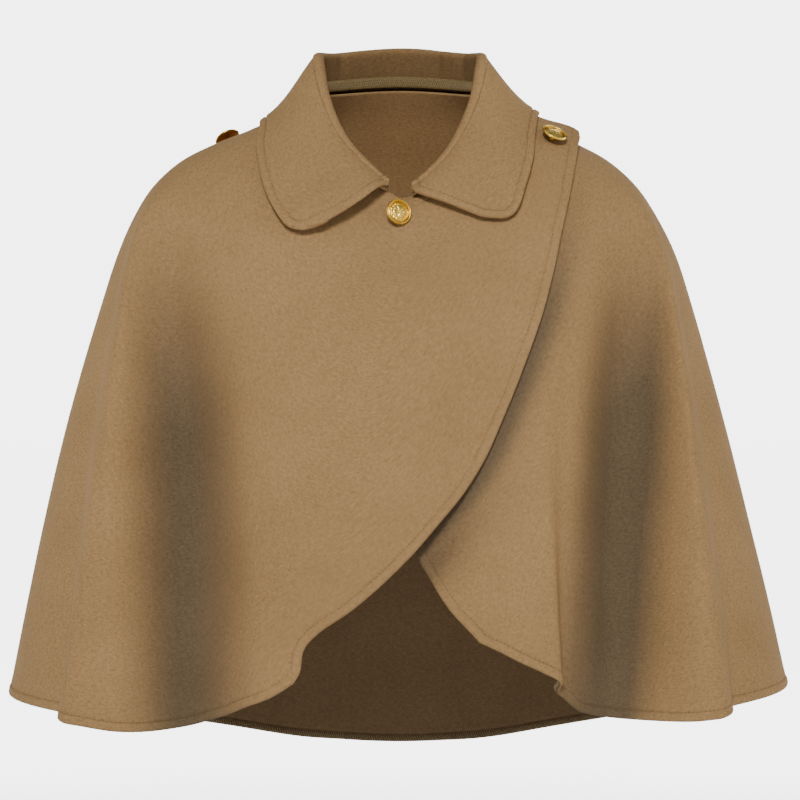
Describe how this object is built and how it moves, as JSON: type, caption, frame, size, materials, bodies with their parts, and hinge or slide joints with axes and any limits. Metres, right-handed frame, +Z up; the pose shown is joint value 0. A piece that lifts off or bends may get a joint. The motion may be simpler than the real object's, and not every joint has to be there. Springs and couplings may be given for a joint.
{
  "type": "wool cape",
  "caption": "Worn wrap cape in heavy wool: open at neck and hem, turndown collar, right front wrapping over the chest to the left shoulder, cutaway fronts, metal shank buttons.",
  "frame": {"origin": "midway between the two points where the wearer's shoulders meet the neck", "axes": "+Z up, -Y towards the wearer's front, +X towards the wearer's left"},
  "size_m": [0.6744, 0.4252, 0.6362],
  "materials": {
    "wool": "brushed wool coating with a short soft nap",
    "wool_inside": "overlocked wool seam allowance",
    "gold_metal": "polished gold-coloured metal"
  },
  "bodies": {
    "root": {"back": "wool", "front_right": "wool", "front_left": "wool", "collar": "wool", "neck_band": "wool_inside", "button_neck": "gold_metal", "button_left_shoulder": "gold_metal", "button_right_shoulder": "gold_metal"}
  },
  "joints": []
}
